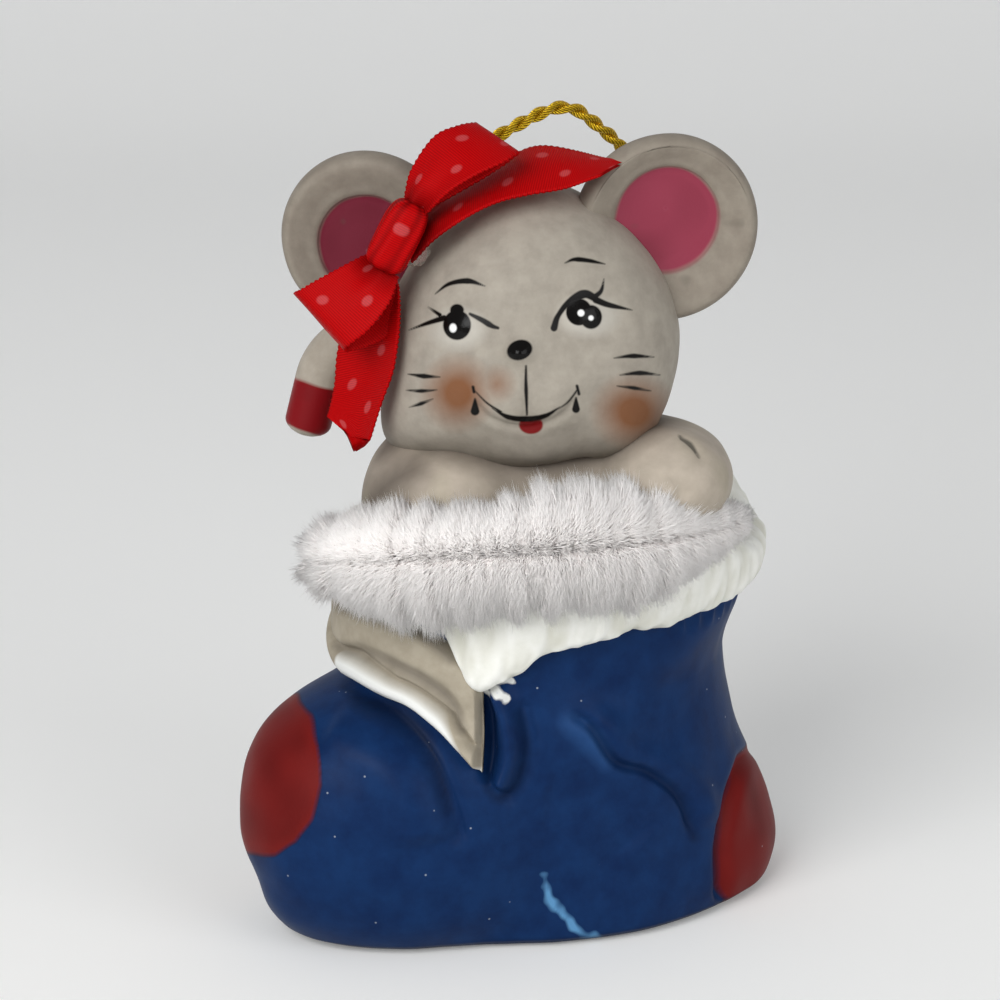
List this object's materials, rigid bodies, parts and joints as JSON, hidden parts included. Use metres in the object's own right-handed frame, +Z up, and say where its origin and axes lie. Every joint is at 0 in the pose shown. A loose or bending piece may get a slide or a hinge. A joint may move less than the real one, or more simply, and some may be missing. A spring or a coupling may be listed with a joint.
{
  "type": "mouse figurine ornament",
  "caption": "Porcelain mouse sitting in a blue stocking with a fur cuff, a chenille trim, a ribbon bow and a cord loop to hang it by; it also stands on its flat sole.",
  "frame": {"origin": "middle of the flat sole that the stocking stands on", "axes": "+Z up, the mouse faces -Y, +X is the mouse's left; the toe of the stocking points to -X and a little to -Y"},
  "size_m": [0.0684, 0.0537, 0.1029],
  "materials": {
    "grey_porcelain": "matt bisque, painted grey",
    "blue_porcelain": "matt bisque, painted blue with red toe and heel",
    "white_porcelain": "matt bisque, painted white",
    "striped_porcelain": "bisque, painted white with red stripes",
    "chenille_pile": "white cut pile",
    "stem_wire": "twisted wire",
    "clear_glue": "clear hot-melt glue",
    "satin_ribbon": "red satin with small pale dots",
    "gold_cord": "twisted metallic gold yarn"
  },
  "bodies": {
    "figurine": {"stocking_shell": "blue_porcelain", "stocking_cuff": "white_porcelain", "cuff_lapel": "grey_porcelain", "mouse_torso": "grey_porcelain", "left_arm": "grey_porcelain", "right_arm": "grey_porcelain", "head_shell": "grey_porcelain", "left_ear": "grey_porcelain", "right_ear": "grey_porcelain", "candy_cane": "striped_porcelain", "chenille_pile": "chenille_pile", "chenille_wire": "stem_wire", "trim_glue": "clear_glue", "bow_loop_upper": "satin_ribbon", "bow_loop_lower": "satin_ribbon", "bow_tail_upper": "satin_ribbon", "bow_tail_lower": "satin_ribbon", "bow_knot": "satin_ribbon", "bow_glue": "clear_glue", "cord_knots": "gold_cord"},
    "hanging_loop": {"hanging_cord": "gold_cord"}
  },
  "joints": [
    {"name": "loop_fold", "type": "hinge", "parent": "figurine", "child": "hanging_loop", "pos_m": [-0.0025, -0.001, 0.0937], "axis": [0.869, 0.3759, -0.3217], "range_deg": [-90, 20], "stiffness_Nm_per_rad": 0.00005}
  ]
}
